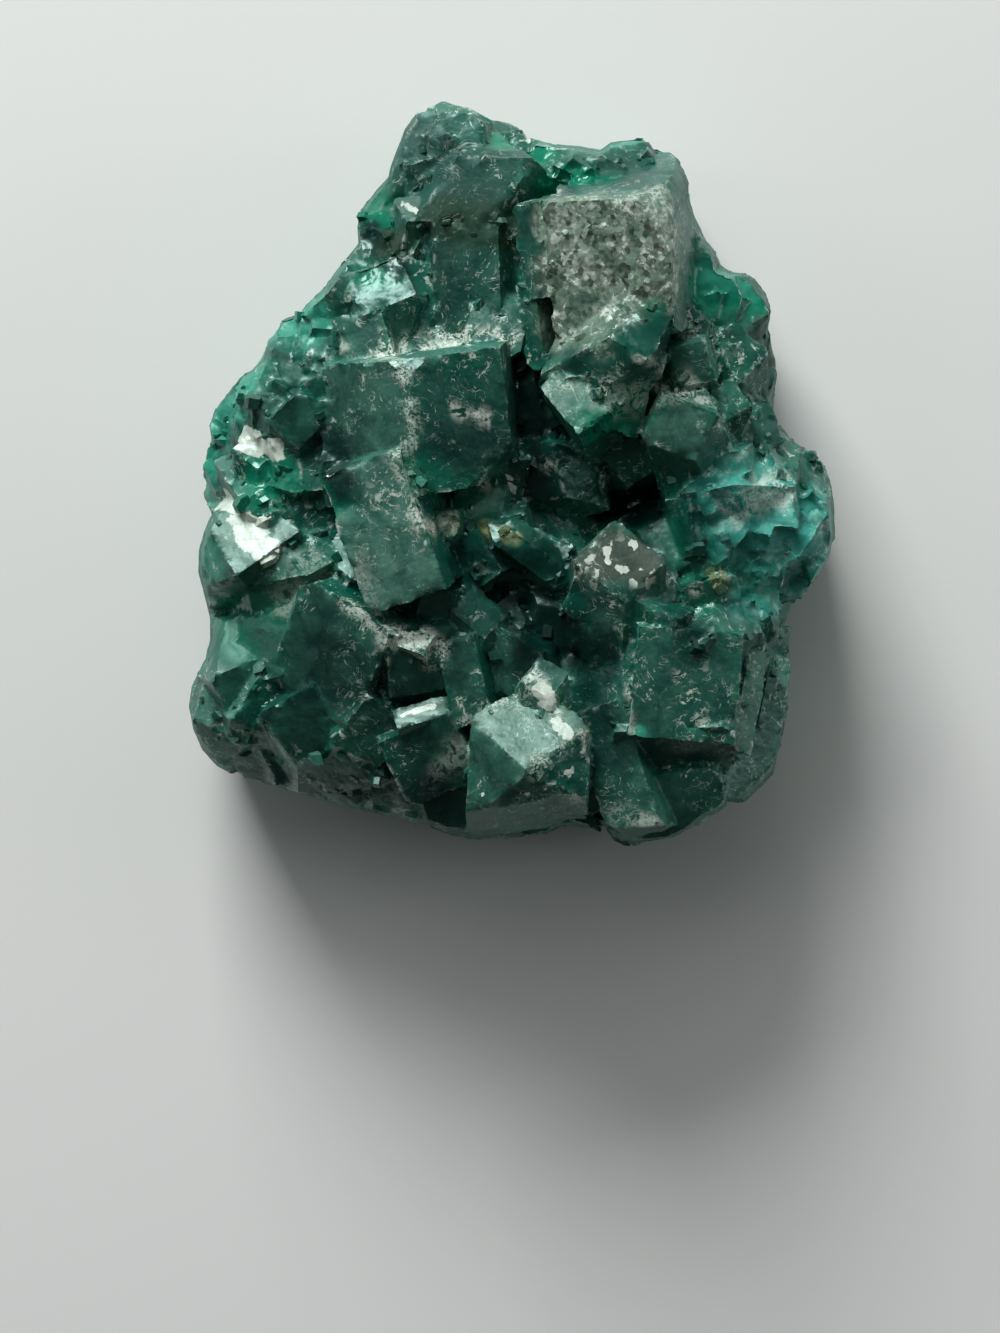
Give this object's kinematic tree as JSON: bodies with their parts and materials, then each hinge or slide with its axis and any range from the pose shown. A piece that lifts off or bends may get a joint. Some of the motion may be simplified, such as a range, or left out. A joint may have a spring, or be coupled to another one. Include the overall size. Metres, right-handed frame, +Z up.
{
  "type": "mineral specimen",
  "caption": "Small mineral specimen: a cluster of stubby green crystals grown into each other, cut off flat at the back so that it lies with its crystals up.",
  "frame": {"origin": "middle of the bounding box on the flat cut back", "axes": "+X to the right and +Y to the upper, narrower edge as the crystals are looked at, +Z up out of the back towards the crystals"},
  "size_m": [0.0258, 0.0298, 0.0132],
  "materials": {
    "dioptase": "vitreous crystal faces, translucent, with granular and etched patches"
  },
  "bodies": {
    "root": {"dioptase_cluster": "dioptase"}
  },
  "joints": []
}
